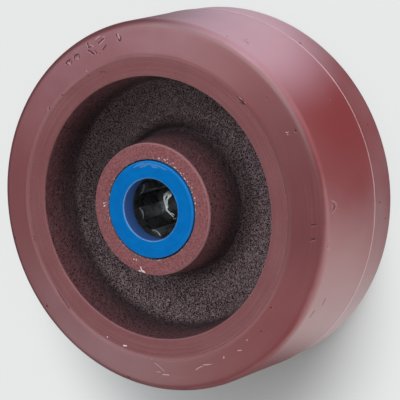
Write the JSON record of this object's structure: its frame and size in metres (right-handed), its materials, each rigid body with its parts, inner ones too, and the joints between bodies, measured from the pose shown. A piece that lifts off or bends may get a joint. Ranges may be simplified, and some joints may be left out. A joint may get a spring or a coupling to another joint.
{
  "type": "polyurethane trolley wheel",
  "caption": "Maroon polyurethane tyre on a painted cast iron centre, turning on a caged roller bearing held by two blue nylon retainers.",
  "frame": {"origin": "centre of the wheel, on its turning axis and midway between the two retainer faces", "axes": "+Z along the turning axis, out of the front face, which is the face with the visible bearing; +X through the axis of roller_1"},
  "size_m": [0.1254, 0.1254, 0.06],
  "materials": {
    "polyurethane": "semi-gloss moulded maroon polyurethane",
    "cast_iron": "maroon paint over sand-cast iron, with turned faces",
    "blue_nylon": "satin moulded blue nylon",
    "black_nylon": "black nylon with a film of grease",
    "roller_steel": "ground steel rollers with a film of dark grease"
  },
  "bodies": {
    "wheel": {"tyre": "polyurethane", "wheel_centre": "cast_iron", "retainer_front": "blue_nylon", "retainer_back": "blue_nylon"},
    "cage": {"roller_cage": "black_nylon"},
    "roller_1": {"roller_1": "roller_steel"},
    "roller_2": {"roller_2": "roller_steel"},
    "roller_3": {"roller_3": "roller_steel"},
    "roller_4": {"roller_4": "roller_steel"},
    "roller_5": {"roller_5": "roller_steel"},
    "roller_6": {"roller_6": "roller_steel"},
    "roller_7": {"roller_7": "roller_steel"},
    "roller_8": {"roller_8": "roller_steel"}
  },
  "joints": [
    {"name": "cage_spin", "type": "hinge", "parent": "wheel", "child": "cage", "pos_m": [0, 0, 0], "axis": [0, 0, 1], "continuous": true},
    {"name": "roller_1_spin", "type": "hinge", "parent": "cage", "child": "roller_1", "pos_m": [0.013, 0, 0], "axis": [0, 0, 1], "continuous": true},
    {"name": "roller_2_spin", "type": "hinge", "parent": "cage", "child": "roller_2", "pos_m": [0.00919, 0.00919, 0], "axis": [0, 0, 1], "continuous": true},
    {"name": "roller_3_spin", "type": "hinge", "parent": "cage", "child": "roller_3", "pos_m": [0, 0.013, 0], "axis": [0, 0, 1], "continuous": true},
    {"name": "roller_4_spin", "type": "hinge", "parent": "cage", "child": "roller_4", "pos_m": [-0.00919, 0.00919, 0], "axis": [0, 0, 1], "continuous": true},
    {"name": "roller_5_spin", "type": "hinge", "parent": "cage", "child": "roller_5", "pos_m": [-0.013, 0, 0], "axis": [0, 0, 1], "continuous": true},
    {"name": "roller_6_spin", "type": "hinge", "parent": "cage", "child": "roller_6", "pos_m": [-0.00919, -0.00919, 0], "axis": [0, 0, 1], "continuous": true},
    {"name": "roller_7_spin", "type": "hinge", "parent": "cage", "child": "roller_7", "pos_m": [0, -0.013, 0], "axis": [0, 0, 1], "continuous": true},
    {"name": "roller_8_spin", "type": "hinge", "parent": "cage", "child": "roller_8", "pos_m": [0.00919, -0.00919, 0], "axis": [0, 0, 1], "continuous": true}
  ],
  "couplings": [
    {"joint": "roller_1_spin", "follows": "cage_spin", "ratio": -5.3833},
    {"joint": "roller_2_spin", "follows": "cage_spin", "ratio": -5.3833},
    {"joint": "roller_3_spin", "follows": "cage_spin", "ratio": -5.3833},
    {"joint": "roller_4_spin", "follows": "cage_spin", "ratio": -5.3833},
    {"joint": "roller_5_spin", "follows": "cage_spin", "ratio": -5.3833},
    {"joint": "roller_6_spin", "follows": "cage_spin", "ratio": -5.3833},
    {"joint": "roller_7_spin", "follows": "cage_spin", "ratio": -5.3833},
    {"joint": "roller_8_spin", "follows": "cage_spin", "ratio": -5.3833}
  ]
}
